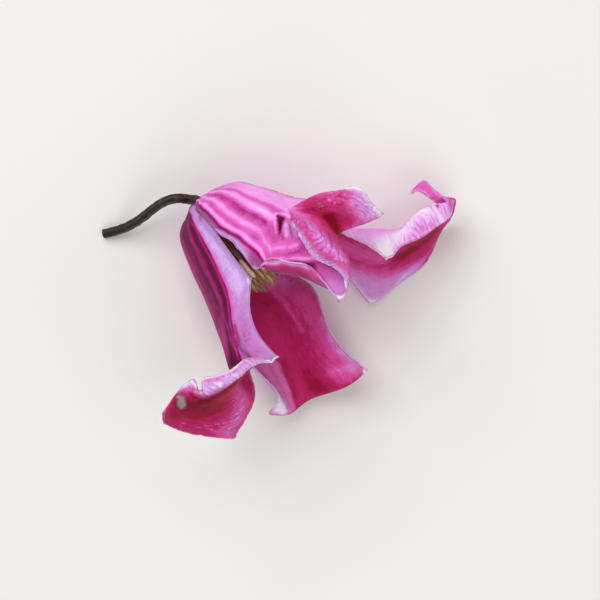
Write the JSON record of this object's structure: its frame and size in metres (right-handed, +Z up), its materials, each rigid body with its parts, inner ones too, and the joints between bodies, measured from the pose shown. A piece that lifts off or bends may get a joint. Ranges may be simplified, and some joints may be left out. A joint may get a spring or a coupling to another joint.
{
  "type": "clematis flower",
  "caption": "Nodding bell-shaped clematis flower with thick ribbed pink sepals and curled tips, lying on its back with a short curved stalk.",
  "frame": {"origin": "centre of the flower's bounding box, on the surface that it lies on", "axes": "+Z up from the surface, and up through the front of the flower; +X along the longest side, from the cut end of the stalk to the tip of the back upper sepal; +Y from the flared end of the front lower sepal to the top of the bell"},
  "size_m": [0.0716, 0.0515, 0.0369],
  "materials": {
    "sepal_upper": "satin",
    "sepal_lower": "satin",
    "sepal_inner": "satin",
    "stalk": "satin",
    "stamen": "matte",
    "carpel": "matte"
  },
  "bodies": {
    "root": {"sepal_front_upper": "sepal_upper", "sepal_front_lower": "sepal_lower", "sepal_back_lower": "sepal_inner", "sepal_back_upper": "sepal_inner", "stalk": "stalk", "stamen_01": "stamen", "stamen_02": "stamen", "stamen_03": "stamen", "stamen_04": "stamen", "stamen_05": "stamen", "stamen_06": "stamen", "stamen_07": "stamen", "stamen_08": "stamen", "stamen_09": "stamen", "stamen_10": "stamen", "stamen_11": "stamen", "stamen_12": "stamen", "stamen_13": "stamen", "stamen_14": "stamen", "stamen_15": "stamen", "stamen_16": "stamen", "stamen_17": "stamen", "stamen_18": "stamen", "stamen_19": "stamen", "stamen_20": "stamen", "stamen_21": "stamen", "stamen_22": "stamen", "stamen_23": "stamen", "stamen_24": "stamen", "stamen_25": "stamen", "stamen_26": "stamen", "stamen_27": "stamen", "stamen_28": "stamen", "stamen_29": "stamen", "stamen_30": "stamen", "stamen_31": "stamen", "stamen_32": "stamen", "stamen_33": "stamen", "stamen_34": "stamen", "stamen_35": "stamen", "stamen_36": "stamen", "carpel_1": "carpel", "carpel_2": "carpel", "carpel_3": "carpel", "carpel_4": "carpel", "carpel_5": "carpel", "carpel_6": "carpel", "carpel_7": "carpel"}
  },
  "joints": []
}
